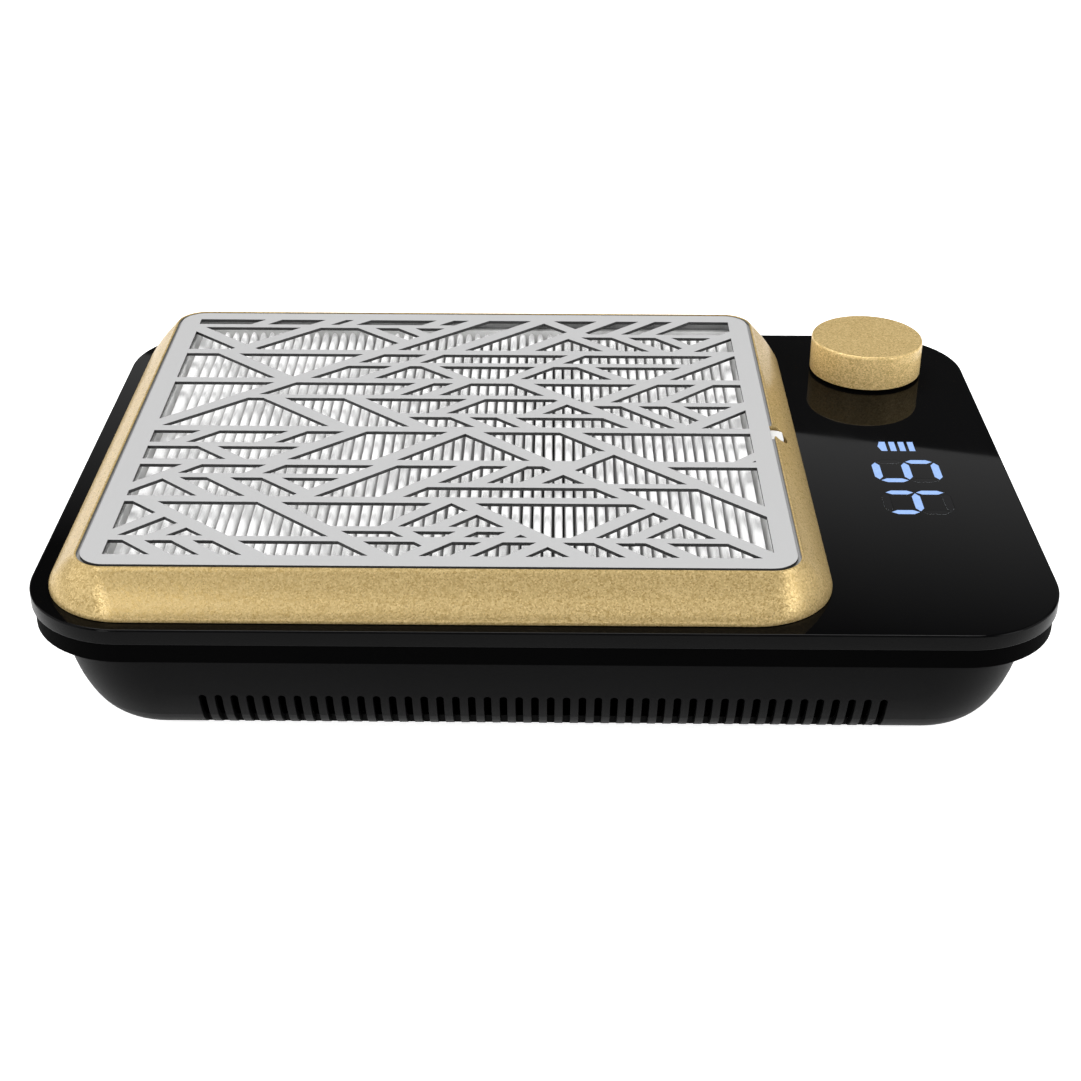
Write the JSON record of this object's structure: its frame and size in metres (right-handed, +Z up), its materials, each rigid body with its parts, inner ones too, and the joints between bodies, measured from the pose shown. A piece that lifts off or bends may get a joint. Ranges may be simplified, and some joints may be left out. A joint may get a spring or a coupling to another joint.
{
  "type": "nail dust collector",
  "caption": "Low rechargeable nail dust collector: black bowl-sided case, sloped gold frame, lift-out patterned grille over a pleated filter, radial fan, speed knob and display.",
  "frame": {"origin": "centre of the footprint on the table, under the middle of the deck panel", "axes": "+X along the long side towards the knob and display, +Y from the front edge to the back edge, +Z up; the row of outlet slots faced by the user is at -Y"},
  "size_m": [0.34, 0.24, 0.067],
  "materials": {
    "case_base": "fine satin black moulding",
    "upper_frame": "dark satin black moulding",
    "deck_panel": "mirror-gloss black, polished edge",
    "gold_frame": "champagne gold with fine metal flake",
    "grille": "matt silver with bright cut edges",
    "grille_magnets": "nickel plated",
    "filter_cassette": "white moulding",
    "filter_paper": "white pleated non-woven paper",
    "filter_seal": "closed-cell foam",
    "filter_tray": "black moulding",
    "impeller": "dark grey moulding",
    "rotor_can": "drawn steel can",
    "rotor_magnets": "dark sintered ring",
    "motor_shaft": "ground steel",
    "motor_base": "die cast",
    "stator": "enamelled copper windings",
    "bearings": "bearing steel",
    "speed_knob": "champagne gold with fine metal flake",
    "pot_shaft": "turned steel",
    "pot_body": "moulded component body",
    "pot_nut": "nickel plated",
    "display_guide": "translucent light guide, light blue when lit",
    "display_board": "green circuit board",
    "display_leds": "diode lens",
    "power_board": "blue circuit board",
    "power_parts": "component bodies",
    "dc_inlet": "black socket",
    "battery_cells": "shrink sleeve",
    "battery_holder": "black moulding",
    "cell_links": "nickel strip",
    "feet": "soft rubber",
    "case_screws": "zinc plated",
    "tray_screws": "zinc plated",
    "motor_screws": "zinc plated",
    "board_screws": "zinc plated",
    "motor_lead": "red insulation",
    "battery_lead": "red insulation",
    "inlet_lead": "black insulation",
    "display_lead": "grey ribbon insulation"
  },
  "bodies": {
    "case": {"case_base": "case_base", "upper_frame": "upper_frame", "deck_panel": "deck_panel", "gold_frame": "gold_frame", "grille_magnets": "grille_magnets", "filter_seal": "filter_seal", "filter_tray": "filter_tray", "motor_base": "motor_base", "stator": "stator", "bearings": "bearings", "pot_body": "pot_body", "pot_nut": "pot_nut", "display_guide": "display_guide", "display_board": "display_board", "display_leds": "display_leds", "power_board": "power_board", "power_parts": "power_parts", "dc_inlet": "dc_inlet", "battery_cells": "battery_cells", "battery_holder": "battery_holder", "cell_links": "cell_links", "feet": "feet", "case_screws": "case_screws", "tray_screws": "tray_screws", "motor_screws": "motor_screws", "board_screws": "board_screws", "motor_lead": "motor_lead", "battery_lead": "battery_lead", "inlet_lead": "inlet_lead", "display_lead": "display_lead"},
    "knob": {"speed_knob": "speed_knob", "pot_shaft": "pot_shaft"},
    "rotor": {"impeller": "impeller", "rotor_can": "rotor_can", "rotor_magnets": "rotor_magnets", "motor_shaft": "motor_shaft"},
    "grille_plate": {"grille": "grille"},
    "filter": {"filter_cassette": "filter_cassette", "filter_paper": "filter_paper"}
  },
  "joints": [
    {"name": "knob_turn", "type": "hinge", "parent": "case", "child": "knob", "pos_m": [0.13, 0.084, 0.052], "axis": [0, 0, -1], "range_deg": [0, 300]},
    {"name": "fan_spin", "type": "hinge", "parent": "case", "child": "rotor", "pos_m": [-0.034, 0, 0.02], "axis": [0, 0, 1], "continuous": true},
    {"name": "grille_lift", "type": "slide", "parent": "case", "child": "grille_plate", "axis": [0, 0, 1], "range_m": [0, 0.09]},
    {"name": "filter_lift", "type": "slide", "parent": "case", "child": "filter", "axis": [0, 0, 1], "range_m": [0, 0.045]}
  ],
  "couplings": [
    {"joint": "filter_lift", "follows": "grille_lift", "ratio": 0.5}
  ]
}
